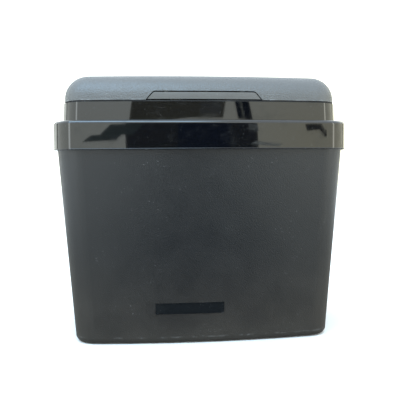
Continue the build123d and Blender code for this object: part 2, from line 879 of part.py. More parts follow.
with BuildPart() as battery_cover:
    with BuildSketch(Plane.XY.offset(case_top)):
        RectangleRounded(
            battery_width + 2 * cover_lip,
            battery_depth + 2 * cover_lip,
            battery_corner + cover_lip,
        )
    extrude(amount=cover_height)
    fillet(battery_cover.faces().sort_by(Axis.Z)[-1].edges(), cover_round)
    with BuildSketch(Plane.XY.offset(cover_top - 1)):
        with Locations((-post_x, post_y), (post_x, post_y)):
            Circle(post_boss_radius)
    extrude(amount=post_boss_height + 1)
    # Raised ridge the filler plugs stand in, broken where the hold-down bar crosses
    with BuildSketch(Plane.XY.offset(cover_top - 1)):
        with Locations((-ridge_x, plug_y), (ridge_x, plug_y)):
            RectangleRounded(*ridge_size, ridge_corner)
    extrude(amount=ridge_height + 1)
    with BuildSketch(Plane.XY.offset(cover_top - plug_depth)):
        with Locations(*[(x, plug_y) for x in plug_x]):
            Circle(plug_hole_radius)
    extrude(amount=plug_depth + ridge_height, mode=Mode.SUBTRACT)
    # Ears for the terminal caps' hinge pins
    for side in (-1, 1):
        for sign in (-1, 1):
            with BuildSketch(Plane.YZ.offset(side * post_x + sign * ear_centre)):
                with Locations((post_y + cap_hinge_y, cap_hinge_z)):
                    Circle(ear_radius)
                with Locations((post_y + cap_hinge_y, (cap_hinge_z + cover_top) / 2 - 0.5)):
                    Rectangle(2 * ear_radius, cap_hinge_z - cover_top + 1)
            extrude(amount=ear_width / 2, both=True)
    with BuildSketch(Plane.YZ.offset(-battery_width / 2)):
        with Locations((post_y + cap_hinge_y, cap_hinge_z)):
            Circle(cap_bore_radius)
    extrude(amount=battery_width, mode=Mode.SUBTRACT)
battery_cover.part.label = "battery_cover"
export_step(battery_cover.part, "parts/battery_cover.step")

slot_depth = 1.6
slot_size = (13.0, 2.2)
slot_turn = 20.0
with BuildPart() as cell_plugs:
    with BuildSketch(Plane.XY.offset(cover_top - plug_depth)):
        with Locations(*[(x, plug_y) for x in plug_x]):
            Circle(plug_neck_radius)
    extrude(amount=plug_depth + ridge_height)
    with BuildSketch(Plane.XY.offset(cover_top + ridge_height)):
        with Locations(*[(x, plug_y) for x in plug_x]):
            Circle(plug_radius)
    extrude(amount=plug_height)
    chamfer(cell_plugs.faces().sort_by(Axis.Z)[-6:].edges().filter_by(GeomType.CIRCLE), 0.8)
    with BuildSketch(Plane.XY.offset(cover_top + ridge_height + plug_height - slot_depth)):
        with Locations(*[(x, plug_y) for x in plug_x]):
            Rectangle(*slot_size, rotation=slot_turn)
    extrude(amount=slot_depth, mode=Mode.SUBTRACT)
cell_plugs.part.label = "cell_plugs"
export_step(cell_plugs.part, "parts/cell_plugs.step")

cap_outer_radius = 13.5
cap_wall = 1.5
cap_bottom = cover_top + post_boss_height + 0.4
cap_top = cover_top + 24.5
cap_knuckle_radius = 2.6
cap_round = 3.0
post_slope = 1 / 18
post_round = 0.8

for side, post_radius, sign_name in ((-1, 8.2, "negative"), (1, 9.0, "positive")):
    centre_x = side * post_x
    with BuildPart() as post:
        with Locations((centre_x, post_y, cover_top + post_boss_height)):
            Cone(post_radius, post_radius - post_height * post_slope, post_height, align=base_align)
        fillet(post.edges().sort_by(Axis.Z)[-1], post_round)
    post.part.label = f"{sign_name}_post"
    export_step(post.part, f"parts/{sign_name}_post.step")

    with BuildPart() as cap:
        with BuildSketch(Plane.XY.offset(cap_bottom)):
            with Locations((centre_x, post_y)):
                Circle(cap_outer_radius)
        extrude(amount=cap_top - cap_bottom)
        fillet(cap.faces().sort_by(Axis.Z)[-1].edges(), cap_round)
        with BuildSketch(Plane.YZ.offset(centre_x)):
            with BuildLine():
                Polyline(
                    (post_y + cap_outer_radius - 1, cap_hinge_z - 1.6),
                    (post_y + cap_hinge_y, cap_hinge_z - 1.6),
                    (post_y + cap_hinge_y, cap_hinge_z + 2.0),
                    (post_y + cap_outer_radius - 1, cap_hinge_z + 4.0),
                    close=True,
                )
            make_face()
            with Locations((post_y + cap_hinge_y, cap_hinge_z)):
                Circle(cap_knuckle_radius)
        extrude(amount=ear_centre - ear_width / 2 - 0.4, both=True)
        with BuildSketch(Plane.XY.offset(cap_bottom)):
            with Locations((centre_x, post_y)):
                Circle(cap_outer_radius - cap_wall)
        extrude(amount=cap_top - cap_wall - cap_bottom, mode=Mode.SUBTRACT)
        with BuildSketch(Plane.YZ.offset(centre_x)):
            with Locations((post_y + cap_hinge_y, cap_hinge_z)):
                Circle(cap_bore_radius)
        extrude(amount=ear_centre, both=True, mode=Mode.SUBTRACT)
    cap.part.label = f"{sign_name}_cap"
    export_step(cap.part, f"parts/{sign_name}_cap.step")

    with BuildPart() as cap_pin:
        with BuildSketch(Plane.YZ.offset(centre_x)):
            with Locations((post_y + cap_hinge_y, cap_hinge_z)):
                Circle(cap_pin_radius)
        extrude(amount=ear_centre + ear_width / 2, both=True)
    cap_pin.part.label = f"{sign_name}_cap_pin"
    export_step(cap_pin.part, f"parts/{sign_name}_cap_pin.step")

# ---- hold-down ----------------------------------------------------------------------------------

bar_half_length = 99.0
bar_corner = 6.0
bar_hole_radius = 3.3
bar_ridge_width = 8.0
bar_ridge_height = 2.0
bar_ridge_margin = 22.0
washer_radius = 7.5
washer_hole_radius = 3.2
washer_thickness = 1.5
nut_radius = 5.5
nut_height = 6.0
wing_height = 10.0
rod_top = bar_top + 13.0
wing_half_thickness = 1.1

with BuildPart() as hold_down_bar:
    with BuildSketch(Plane.XY.offset(cover_top)):
        RectangleRounded(bar_width, 2 * bar_half_length, bar_corner)
        with Locations((0, -rod_y), (0, rod_y)):
            Circle(bar_hole_radius, mode=Mode.SUBTRACT)
    extrude(amount=bar_thickness)
    # A pressed stiffening ridge along the middle
    with BuildSketch(Plane.XY.offset(bar_top)):
        SlotOverall(2 * (bar_half_length - bar_ridge_margin), bar_ridge_width, rotation=90)
    extrude(amount=bar_ridge_height, taper=30)
hold_down_bar.part.label = "hold_down_bar"
export_step(hold_down_bar.part, "parts/hold_down_bar.step")

with BuildPart() as hold_down_rods:
    with Locations((0, -rod_y, anchor_hole_bottom), (0, rod_y, anchor_hole_bottom)):
        Cylinder(rod_radius, rod_top - anchor_hole_bottom, align=base_align)
    chamfer(hold_down_rods.faces().sort_by(Axis.Z)[-2:].edges(), 0.6)
hold_down_rods.part.label = "hold_down_rods"
export_step(hold_down_rods.part, "parts/hold_down_rods.step")

with BuildPart() as hold_down_washers:
    with BuildSketch(Plane.XY.offset(bar_top)):
        with Locations((0, -rod_y), (0, rod_y)):
            Circle(washer_radius)
            Circle(washer_hole_radius, mode=Mode.SUBTRACT)
    extrude(amount=washer_thickness)
hold_down_washers.part.label = "hold_down_washers"
export_step(hold_down_washers.part, "parts/hold_down_washers.step")

nut_bottom = bar_top + washer_thickness
with BuildPart() as wing_nuts:
    for end in (-1, 1):
        with BuildSketch(Plane.XY.offset(nut_bottom)):
            with Locations((0, end * rod_y)):
                Circle(nut_radius)
        extrude(amount=nut_height)
        with BuildSketch(Plane.XZ.offset(-end * rod_y)):
            for side in (-1, 1):
                with BuildLine():
                    Polyline(
                        (side * (nut_radius - 2), nut_bottom + 1),
                        (side * (nut_radius + 1), nut_bottom + 1),
                        (side * (nut_radius + 6), nut_bottom + wing_height),
                        (side * (nut_radius + 1), nut_bottom + wing_height + 1),
                        (side * (nut_radius - 2), nut_bottom + nut_height),
                        close=True,
                    )
                make_face()
        extrude(amount=wing_half_thickness, both=True)
        with BuildSketch(Plane.XY.offset(nut_bottom)):
            with Locations((0, end * rod_y)):
                Circle(rod_radius + rod_clearance)
        extrude(amount=wing_height + 2, mode=Mode.SUBTRACT)
wing_nuts.part.label = "wing_nuts"
export_step(wing_nuts.part, "parts/wing_nuts.step")
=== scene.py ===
import math

import bmesh
import bpy
from mathutils import Matrix, Quaternion, Vector


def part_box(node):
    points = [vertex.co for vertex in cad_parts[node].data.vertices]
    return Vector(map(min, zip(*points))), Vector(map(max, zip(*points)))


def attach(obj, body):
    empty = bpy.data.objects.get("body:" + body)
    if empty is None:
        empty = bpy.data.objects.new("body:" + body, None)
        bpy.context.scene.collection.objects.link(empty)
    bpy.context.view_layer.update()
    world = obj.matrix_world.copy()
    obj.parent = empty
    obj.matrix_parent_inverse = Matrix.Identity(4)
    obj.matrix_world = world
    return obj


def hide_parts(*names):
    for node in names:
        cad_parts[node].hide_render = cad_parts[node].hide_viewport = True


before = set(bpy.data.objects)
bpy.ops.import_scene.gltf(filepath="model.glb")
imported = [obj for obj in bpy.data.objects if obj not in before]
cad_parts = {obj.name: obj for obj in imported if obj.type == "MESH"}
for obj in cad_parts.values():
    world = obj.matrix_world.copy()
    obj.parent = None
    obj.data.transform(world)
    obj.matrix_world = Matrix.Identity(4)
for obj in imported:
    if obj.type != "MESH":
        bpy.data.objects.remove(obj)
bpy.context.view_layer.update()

# ---- Camera ---------------------------------------------------------------------------------------
# The viewer stands in front of the box, a little to the left of its middle and at about two thirds of
# its height, looking slightly down. A 54 mm lens keeps the tub's taper and the bowed front as they are.

eye = Vector((-0.0815, -0.7945, 0.1992))
yaw, pitch, roll = math.radians(6.21), math.radians(2.60), math.radians(-0.49)
film_width, lens_length = 36.0, 54.207
nearest, farthest = 0.01, 20.0

camera_data = bpy.data.cameras.new("camera")
camera_data.sensor_width = film_width
camera_data.lens = lens_length
camera_data.clip_start, camera_data.clip_end = nearest, farthest
camera = bpy.data.objects.new("camera", camera_data)
bpy.context.scene.collection.objects.link(camera)
aim = Vector((math.sin(yaw) * math.cos(pitch), math.cos(yaw) * math.cos(pitch), -math.sin(pitch)))
camera.location = eye
camera.rotation_mode = "QUATERNION"
camera.rotation_quaternion = aim.to_track_quat("-Z", "Y") @ Quaternion((0.0, 0.0, 1.0), roll)
bpy.context.scene.camera = camera
bpy.context.scene.view_settings.view_transform = "Standard"

# ---- Studio ---------------------------------------------------------------------------------------
# A pale floor under an even white sky, a soft blue panel overhead and a strip light on each side. Dark
# cards stand behind the viewer and round the box, and dark cloths lie on the floor: they show only as
# what the polished rim and the tub mirror.


def stage_piece(name, mesh, colour, roughness, specular, only_mirrored=False):
    """A plain-coloured piece of the studio, which isn't part of the box."""
    data = bpy.data.meshes.new(name)
    mesh.to_mesh(data)
    mesh.free()
    paint = bpy.data.materials.new(name)
    paint.use_nodes = True
    shader = paint.node_tree.nodes["Principled BSDF"]
    shader.inputs["Base Color"].default_value = (*colour, 1.0)
    shader.inputs["Roughness"].default_value = roughness
    shader.inputs["Specular IOR Level"].default_value = specular
    data.materials.append(paint)
    piece = bpy.data.objects.new(name, data)
    bpy.context.scene.collection.objects.link(piece)
    if only_mirrored:
        piece.visible_camera = False
        piece.visible_diffuse = False
        piece.visible_shadow = False


floor_half_width = 8.0
floor_mesh = bmesh.new()
bmesh.ops.create_grid(floor_mesh, x_segments=1, y_segments=1, size=floor_half_width)
stage_piece("studio_floor", floor_mesh, (0.82, 0.82, 0.81), roughness=0.9, specular=0.5)


class Net:
    """Shader maths in one node tree: wraps a socket so that Python expressions add its nodes."""

    def __init__(self, tree, socket=None):
        self.tree, self.socket = tree, socket

    def node(self, kind, settings=None, sockets=None):
        """A node of one type: its settings are set first, then the values or links of its sockets."""
        made = self.tree.nodes.new(kind)
        for key, value in (settings or {}).items():
            if key == "stops":
                for stop, (place, colour) in zip(made.color_ramp.elements, value):
                    stop.position, stop.color = place, colour
            else:
                setattr(made, key, value)
        for key, value in (sockets or {}).items():
            if isinstance(value, Net):
                self.tree.links.new(value.socket, made.inputs[key])
            else:
                made.inputs[key].default_value = value
        return made

    def out(self, made, name=0):
        """One output of a node, ready for more maths."""
        return Net(self.tree, made.outputs[name])

    def maths(self, operation, first, second, clamp=False):
        """A Math node on two numbers or sockets."""
        settings = {"operation": operation, "use_clamp": clamp}
        return self.out(self.node("ShaderNodeMath", settings, {0: first, 1: second}))

    def __add__(self, other):
        return self.maths("ADD", self, other)

    def __radd__(self, other):
        return self.maths("ADD", other, self)

    def __sub__(self, other):
        return self.maths("SUBTRACT", self, other)

    def __rsub__(self, other):
        return self.maths("SUBTRACT", other, self)

    def __mul__(self, other):
        return self.maths("MULTIPLY", self, other)

    def __rmul__(self, other):
        return self.maths("MULTIPLY", other, self)

    def clamp(self):
        """Held between 0 and 1."""
        return self.maths("ADD", self, 0.0, clamp=True)

    def swing(self, amount):
        """A noise that runs from 0 to 1, made to swing about 0 by an amount in all."""
        return (self - 0.5) * amount

    def step(self, low, high):
        """0 below low, 1 above high and smooth between."""
        settings = {"interpolation_type": "SMOOTHSTEP"}
        return self.out(self.node("ShaderNodeMapRange", settings, {0: self, 1: low, 2: high}))

    def between(self, first, second):
        """A colour mixed from first to second by this mask."""
        mixed = self.node("ShaderNodeMix", {"data_type": "RGBA"}, {0: self, 6: first, 7: second})
        return self.out(mixed, 2)

    def ramp(self, low, low_colour, high, high_colour):
        """A colour that runs from one to the other between two values of this one."""
        stops = ((low, low_colour), (high, high_colour))
        return self.out(self.node("ShaderNodeValToRGB", {"stops": stops}, {0: self}))

    def axis(self, name):
        """One coordinate of a point."""
        return self.out(self.node("ShaderNodeSeparateXYZ", sockets={0: self}), name)


sky_strength = 2.1
sky_left, sky_right = (0.85, 0.90, 0.84, 1.0), (0.84, 0.83, 0.66, 1.0)
sky_top = (0.84, 0.93, 1.0, 1.0)
world = bpy.data.worlds.new("studio")
world.use_nodes = True
background = world.node_tree.nodes["Background"]
background.inputs["Strength"].default_value = sky_strength
sky = Net(world.node_tree)
direction = sky.out(sky.node("ShaderNodeTexCoord"), "Generated")
horizon = direction.axis("X").ramp(0.0, sky_left, 0.45, sky_right)
rise = direction.axis("Z").ramp(0.10, (0.0, 0.0, 0.0, 1.0), 0.60, (1.0, 1.0, 1.0, 1.0))
world.node_tree.links.new(rise.between(horizon, sky_top).socket, background.inputs["Color"])
bpy.context.scene.world = world


def card(name, corners, shade):
    """A flat matt card through its corners, seen only in reflections."""
    mesh = bmesh.new()
    mesh.faces.new([mesh.verts.new(corner) for corner in corners])
    stage_piece(name, mesh, shade, roughness=1.0, specular=0.0, only_mirrored=True)


def cloth(name, height, corners, shade):
    """A cloth that lies just above the floor."""
    card(name, [(x, y, height) for x, y in corners], shade)


def upright_card(name, left, right, bottom, top, shade, lean=0.0, ahead=0.0, y=-2.2):
    """An upright card, behind the viewer unless a y is given, its top moved sideways by a lean."""
    y = y + ahead
    corners = [(left, y, bottom), (right, y, bottom), (right + lean, y, top), (left + lean, y, top)]
    card(name, corners, shade)


black = (0.004, 0.004, 0.006)
navy = (0.004, 0.006, 0.018)
dusk = (0.035, 0.030, 0.022)
smoke = (0.085, 0.100, 0.085)
olive = (0.125, 0.110, 0.070)
black_cotton = (0.03, 0.032, 0.038)
brown_cotton = (0.26, 0.235, 0.20)
cloth("black_cloth", 0.003, ((-0.16, -0.135), (0.18, -0.135), (0.40, -2.2), (-0.26, -2.2)), black_cotton)
cloth("brown_cloth", 0.002, ((-0.9, -1.0), (-0.9, 1.1), (1.0, 1.1), (1.0, -1.0)), brown_cotton)

# Heights of 0.33 to 0.43 show in the rim's skirt, and heights of 0.62 to 0.69 in its collar
upright_card("dusk_card", -0.42, 0.70, 0.0, 0.52, dusk)
upright_card("navy_card", 0.01, 0.445, 0.0, 0.50, navy, ahead=0.02)
upright_card("low_wedge", -0.76, -0.50, 0.345, 0.375, smoke, lean=0.06, ahead=0.02)
upright_card("high_wedge", -0.64, -0.36, 0.370, 0.425, smoke, lean=0.10, ahead=0.03)
upright_card("pale_window", 0.61, 0.70, 0.385, 0.42, (0.30, 0.30, 0.28), lean=-0.01, ahead=0.04)
upright_card("ground_streak", 0.62, 0.88, 0.325, 0.340, (0.55, 0.55, 0.52), lean=0.05, ahead=0.05)
upright_card("arc_low", 1.34, 1.39, 0.375, 0.405, dusk, lean=-0.04)
upright_card("arc_high", 1.20, 1.34, 0.405, 0.435, dusk, lean=-0.03)
upright_card("collar_card", -0.44, 0.41, 0.59, 0.74, olive, lean=0.04)
upright_card("collar_window", 0.20, 0.38, 0.61, 0.675, (0.14, 0.13, 0.11), lean=0.02, ahead=0.02)
upright_card("collar_bar", 0.56, 0.71, 0.59, 0.74, black, lean=-0.06)
upright_card("collar_strip", 0.60, 0.625, 0.60, 0.72, (0.25, 0.24, 0.20), lean=-0.05, ahead=0.02)

far_edge = 2.2
far_card_top = 1.1
rear_card_width = 0.7
for number, left in enumerate((-1.5, -0.3, 0.8)):
    right = left + rear_card_width
    upright_card(f"rear_card_{number}", left, right, 0.0, far_card_top, black, lean=0.1, y=far_edge)
for number, x in enumerate((-far_edge, far_edge)):
    corners = [(x, 0.9, 0.0), (x, 1.15, 0.0), (x, 1.25, far_card_top), (x, 1.0, far_card_top)]
    card(f"side_card_{number}", corners, dusk)


def soft_panel(name, place, size, power, colour):
    """One rectangular studio light, aimed at the middle of the lid."""
    lid_middle = Vector((0.0, 0.0, 0.30))
    data = bpy.data.lights.new(name, "AREA")
    data.shape = "RECTANGLE"
    data.size, data.size_y = size
    data.energy = power
    data.color = colour
    panel = bpy.data.objects.new(name, data)
    bpy.context.scene.collection.objects.link(panel)
    panel.location = place
    panel.rotation_mode = "QUATERNION"
    panel.rotation_quaternion = (lid_middle - Vector(place)).to_track_quat("-Z", "Y")


soft_panel("overhead_panel", (-0.5, -0.75, 1.5), (1.7, 0.6), 26.0, (0.42, 0.71, 1.0))
soft_panel("left_strip", (-1.5, -1.0, 0.5), (0.20, 1.2), 2.0, (0.90, 0.98, 1.0))
soft_panel("right_strip", (1.6, -0.9, 0.5), (0.20, 1.2), 2.0, (1.0, 1.0, 0.90))

# ---- Tub ------------------------------------------------------------------------------------------
# The open box that takes the battery: black polypropylene, injection moulded in one piece with its
# side grips and floor anchors. Its outside has a fine matt grain that dulls with handling.


class Finish:
    """A named material being made: its constant values, its Net, and the sockets it feeds."""

    def __init__(self, name, colour, roughness, metallic=0.0, coat=0.0, specular=0.5):
        self.material = bpy.data.materials.new(name)
        self.material.use_nodes = True
        self.net = Net(self.material.node_tree)
        self.shader = self.material.node_tree.nodes["Principled BSDF"]
        self.shader.inputs["Base Color"].default_value = (*colour, 1.0)
        self.shader.inputs["Roughness"].default_value = roughness
        self.shader.inputs["Metallic"].default_value = metallic
        self.shader.inputs["Coat Weight"].default_value = coat
        self.shader.inputs["Coat Roughness"].default_value = 0.04
        self.shader.inputs["Specular IOR Level"].default_value = specular
        self.where = self.net.out(self.net.node("ShaderNodeTexCoord"), "Object")

    def feed(self, socket, value):
        """Links maths to one of the shader's sockets."""
        self.net.tree.links.new(value.socket, self.shader.inputs[socket])

    def noise(self, scale, detail=2.0, rough=0.5, stretch=None):
        """Noise of a number of features per metre, finer along the axes that are stretched."""
        where = self.where
        if stretch:
            sockets = {"Vector": where, "Scale": stretch}
            where = self.net.out(self.net.node("ShaderNodeMapping", None, sockets))
        sockets = {"Vector": where, "Scale": scale, "Detail": detail, "Roughness": rough}
        return self.net.out(self.net.node("ShaderNodeTexNoise", None, sockets), "Fac")

    def cells(self, size):
        """Distance to the nearest of scattered points that lie about a size apart, as pebble grain."""
        sockets = {"Vector": self.where, "Scale": 1.0 / size}
        made = self.net.node("ShaderNodeTexVoronoi", {"feature": "F1"}, sockets)
        return self.net.out(made, "Distance")

    def relief(self, height, distance):
        """Bumps of a height that is a fraction of a distance in metres."""
        sockets = {"Height": height, "Distance": distance, "Strength": 1.0}
        self.feed("Normal", self.net.out(self.net.node("ShaderNodeBump", None, sockets), "Normal"))


def shade_of(colour, factor):
    """A darker or lighter shade of a colour."""
    return (*[part * factor for part in colour], 1.0)


def cover(material, *nodes):
    """Gives CAD nodes one material in every slot."""
    for node in nodes:
        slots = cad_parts[node].data.materials
        slots.clear()
        slots.append(material)


def moulded(
    name,
    colour,
    pale,
    roughness,
    grain,
    depth,
    wear_and_highlight_band=None,
    dusty_below=None,
    scuff=1.0,
    specular=0.5,
):
    """Moulded plastic with a pebble grain of one size and depth. The melt's flow and many hands vary its
    colour and polish. Dust specks, rub lines and a band between two heights show in the pale colour; the
    band is wear on the lid's edge and a painted highlight line on the tub. Dust settles below a height."""
    settled_dust = (0.031, 0.026, 0.021, 1.0)
    dust_strength, line_strength, wear_and_highlight_strength, settled_strength = 0.40, 0.16, 0.20, 0.6
    wear_and_highlight_fade = 0.001
    darkest, lightest = shade_of(colour, 0.74), shade_of(colour, 1.28)
    made = Finish(name, colour, roughness, specular=specular)
    pebble = made.cells(grain)
    fine = made.noise(2.2 / grain, detail=3.0, rough=0.6)
    flow = made.noise(7.0, detail=3.0, rough=0.55)
    smudge = made.noise(34.0, detail=4.0, rough=0.62)
    specks = made.noise(520.0).step(0.68, 0.74)
    rubbed = made.noise(1.0, detail=3.0, rough=0.6, stretch=(60.0, 60.0, 420.0)).step(0.64, 0.72)
    dust = (specks * smudge.step(0.48, 0.66) * scuff).clamp()
    lines = (rubbed * smudge.step(0.56, 0.70) * scuff).clamp()
    marks_and_highlight = dust * dust_strength + lines * line_strength
    # A pale band between two heights: wear on the lid's lower edge, and on the tub a painted highlight
    # along the top of the bottom fillet.
    if wear_and_highlight_band:
        low, high = wear_and_highlight_band
        height = made.where.axis("Z")
        edge = height.step(low - wear_and_highlight_fade, low) * (1.0 - height.step(high, high + wear_and_highlight_fade))
        patches = made.noise(90.0, detail=3.0, rough=0.7).step(0.46, 0.64)
        marks_and_highlight = marks_and_highlight + edge * patches * wear_and_highlight_strength
    tone = flow.swing(0.55) + smudge.swing(0.45) + fine.swing(0.30) + 0.5
    body = tone.clamp().between(darkest, lightest)
    if dusty_below:
        low_down = 1.0 - made.where.axis("Z").step(0.0, dusty_below)
        settled = low_down * (smudge * settled_strength + flow * settled_strength)
        body = settled.clamp().between(body, settled_dust)
    made.feed("Base Color", marks_and_highlight.clamp().between(body, (*pale, 1.0)))
    polish = smudge.swing(0.20) + flow.swing(0.12) + fine.swing(0.08)
    made.feed("Roughness", (polish + roughness + marks_and_highlight * 0.3).clamp())
    made.relief((1.0 - pebble) * 0.65 + fine * 0.35, depth)
    return made.material


# The pale band from 7.4 to 8.2 mm up is a painted highlight line where the bottom fillet meets the front,
# not wear.
tub_plastic = moulded(
    "tub_plastic",
    colour=(0.0078, 0.0084, 0.0096),
    pale=(0.20, 0.20, 0.20),
    roughness=0.36,
    grain=0.0012,
    depth=0.00017,
    wear_and_highlight_band=(0.0074, 0.0082),
    dusty_below=0.13,
    specular=0.62,
)
cover(tub_plastic, "tub")

# ---- Label plate ----------------------------------------------------------------------------------
# A small black acrylic plate glued in a shallow seat low on the front. It is blank, with a raised rim
# that follows its curve and a faint haze of fine wiping scratches.


def polished(name, colour, roughness=0.05, haze=1.0, wave=0.0006, coat=0.5, specular=0.5):
    """Polished black plastic: long soft waves, finger marks, wiping scratches and dust."""
    film_grey = (0.20, 0.20, 0.19, 1.0)
    made = Finish(name, colour, roughness, coat=coat, specular=specular)
    waves = made.noise(11.0, detail=1.0, rough=0.4)
    smudge = made.noise(52.0, detail=4.0, rough=0.65)
    hairs = made.noise(1.0, rough=0.7, stretch=(20.0, 20.0, 1500.0)).step(0.66, 0.72)
    slanted = made.noise(1.0, rough=0.7, stretch=(900.0, 900.0, 26.0)).step(0.70, 0.75)
    dust = made.noise(900.0, detail=1.0).step(0.74, 0.78) * haze
    scratch = ((hairs + slanted) * smudge.step(0.48, 0.62)).clamp()
    prints = smudge.step(0.52, 0.70) * haze
    film = prints * 0.015 + scratch * 0.03 + dust * 0.30
    made.feed("Base Color", film.clamp().between((*colour, 1.0), film_grey))
    made.feed("Roughness", (prints * 0.05 + scratch * 0.18 + dust * 0.4 + roughness).clamp())
    if coat:
        made.feed("Coat Weight", (coat - prints * 0.25 - dust * 0.3).clamp())
    made.relief(waves + scratch * 0.01, wave)
    return made.material


label_acrylic = polished("label_acrylic", (0.006, 0.007, 0.008), roughness=0.20, coat=0.0, specular=0.25)
cover(label_acrylic, "label_plate")


def add_piece(name, mesh, material, body, smooth=False):
    """Makes a finished mesh a piece of the box that rides on a body and takes the given material."""
    data = bpy.data.meshes.new(name)
    bmesh.ops.recalc_face_normals(mesh, faces=mesh.faces)
    mesh.to_mesh(data)
    mesh.free()
    for face in data.polygons:
        face.use_smooth = smooth
    data.materials.append(material)
    piece = bpy.data.objects.new(name, data)
    bpy.context.scene.collection.objects.link(piece)
    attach(piece, body)
    return piece


rim_width = 0.0009
rim_height = 0.0003
rim_inset = 0.0003
before_box = -0.3
label_low, label_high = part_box("label_plate")
label_middle = (Vector(label_low) + Vector(label_high)) / 2
rim_size = Vector(label_high) - Vector(label_low) - 2 * Vector((rim_inset, 0.0, rim_inset))
upright = Matrix.Rotation(math.pi / 2, 4, "X")
label_rim = bmesh.new()
bmesh.ops.create_grid(label_rim, x_segments=24, y_segments=4, size=0.5, matrix=upright)
bmesh.ops.scale(label_rim, vec=(rim_size.x, 1.0, rim_size.z), verts=label_rim.verts)
bmesh.ops.translate(label_rim, vec=(label_middle.x, 0.0, label_middle.z), verts=label_rim.verts)
ring = bmesh.ops.inset_region(
    label_rim,
    faces=label_rim.faces[:],
    thickness=rim_width,
    use_boundary=True,
    use_even_offset=True,
)["faces"]
middle_faces = [face for face in label_rim.faces if face not in ring]
bmesh.ops.delete(label_rim, geom=middle_faces, context="FACES")
for vert in label_rim.verts:
    start = (vert.co.x, before_box, vert.co.z)
    hit, surface, _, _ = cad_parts["label_plate"].ray_cast(start, (0.0, 1.0, 0.0))
    vert.co.y = surface.y - rim_height if hit else label_low[1]
bmesh.ops.solidify(label_rim, geom=label_rim.faces[:], thickness=2 * rim_height)
add_piece("label_rim", label_rim, label_acrylic, "box")

# ---- Cable grommets and seal ----------------------------------------------------------------------
# Two EPDM rubber grommets pushed into holes in the rear wall keep the cables off the plastic, and a
# soft seal of the same rubber lies on top of the collar. Both are dull black with a chalky bloom.


def rubbery(name, colour):
    """Moulded rubber: a chalky bloom in patches over a fine, slightly uneven skin."""
    bloom_white = (0.12, 0.12, 0.115, 1.0)
    dull = 0.72
    made = Finish(name, colour, dull, specular=0.3)
    bloom = made.noise(45.0, detail=4.0, rough=0.65)
    fine = made.noise(1900.0)
    chalk = (bloom.step(0.45, 0.75) * 0.22 + fine.swing(0.12)).clamp()
    made.feed("Base Color", chalk.between((*colour, 1.0), bloom_white))
    made.feed("Roughness", (bloom.swing(0.25) + dull).clamp())
    made.relief(fine * 0.6 + made.noise(300.0) * 0.4, 0.00012)
    return made.material


rubber = rubbery("epdm_rubber", (0.012, 0.012, 0.013))
cover(rubber, "cable_grommet_left", "cable_grommet_right", "rim_seal")

# ---- Rim frame ------------------------------------------------------------------------------------
# The polished frame screwed over the top of the tub: gloss black ABS, moulded in one with the collar
# and the hinge ears. A fine bead runs round the lower edge of its skirt, where the mould parts.

gloss_black = polished("gloss_black", (0.0020, 0.0024, 0.0034), roughness=0.025)
cover(gloss_black, "rim_frame")

bead_radius = 0.0006
bead_turns = 240
bead_start = 0.3
bead_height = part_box("rim_frame")[0][2] + bead_radius
bead_path = bpy.data.curves.new("skirt_bead", "CURVE")
bead_path.dimensions = "3D"
bead_path.bevel_depth = bead_radius
bead_path.bevel_resolution = 2
bead_line = bead_path.splines.new("POLY")
bead_line.points.add(bead_turns - 1)
bead_line.use_cyclic_u = True
for number, point in enumerate(bead_line.points):
    turn = 2 * math.pi * number / bead_turns
    outward = Vector((math.cos(turn), math.sin(turn), 0.0))
    start = outward * bead_start + Vector((0.0, 0.0, bead_height))
    _, surface, _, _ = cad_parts["rim_frame"].ray_cast(start, -outward)
    point.co = (*surface, 1.0)
bead_maker = bpy.data.objects.new("skirt_bead_maker", bead_path)
bead_data = bpy.data.meshes.new_from_object(bead_maker)
bpy.data.objects.remove(bead_maker)
bead = bmesh.new()
bead.from_mesh(bead_data)
bpy.data.meshes.remove(bead_data)
bmesh.ops.remove_doubles(bead, verts=bead.verts, dist=0.00001)
add_piece("skirt_bead", bead, gloss_black, "box", smooth=True)

# ---- Screws, pins and strike plate ----------------------------------------------------------------
# Zinc-plated steel screws hold the rim frame, the lid liner and the latch's strike plate. The hinge
# and latch pins are ground stainless steel, and the latch spring is a leaf of tempered steel.


def steel(name, colour, roughness, stain=(0.35, 0.33, 0.28), stretch=(60.0, 900.0, 900.0)):
    """Bare or plated steel: grinding lines, a mottled oxide film and small dark pits."""
    made = Finish(name, colour, roughness, metallic=1.0)
    lines = made.noise(1.0, detail=3.0, rough=0.6, stretch=stretch)
    film = made.noise(140.0, detail=4.0, rough=0.65)
    pits = made.noise(1600.0).step(0.70, 0.76)
    dulled = (film.step(0.48, 0.74) * 0.45 + pits * 0.5).clamp()
    made.feed("Base Color", dulled.between((*colour, 1.0), (*stain, 1.0)))
    made.feed("Roughness", (lines.swing(0.22) + film.swing(0.20) + roughness).clamp())
    made.relief(lines * 0.8 + pits * 0.2, 0.00003)
    return made.material


zinc = steel("zinc_plate", (0.66, 0.67, 0.66), 0.34, stretch=(300.0, 300.0, 300.0))
ground_steel = steel("ground_steel", (0.62, 0.62, 0.61), 0.22, stretch=(1800.0, 120.0, 120.0))
spring_leaf = steel("spring_steel", (0.42, 0.42, 0.44), 0.30, stain=(0.16, 0.15, 0.14))
cover(zinc, "latch_keeper")


def screw_places(node):
    """The middle of each screw head's face in a CAD node, and the way it faces."""
    mesh = bmesh.new()
    mesh.from_mesh(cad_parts[node].data)
    bmesh.ops.remove_doubles(mesh, verts=mesh.verts, dist=0.000001)
    left = set(mesh.faces)
    places = []
    while left:
        front, screw = [left.pop()], []
        while front:
            face = front.pop()
            screw.append(face)
            near = {other for edge in face.edges for other in edge.link_faces} & left
            left -= near
            front.extend(near)
        flats = {}
        for face in screw:
            flats.setdefault(tuple(round(part, 2) for part in face.normal), []).append(face)
        widest = max(flats.values(), key=lambda flat: sum(face.calc_area() for face in flat))
        area = sum(face.calc_area() for face in widest)
        weighted = [face.calc_center_median() * face.calc_area() for face in widest]
        centre = sum(weighted, Vector()) / area
        places.append((centre, widest[0].normal.copy()))
    mesh.free()
    return places


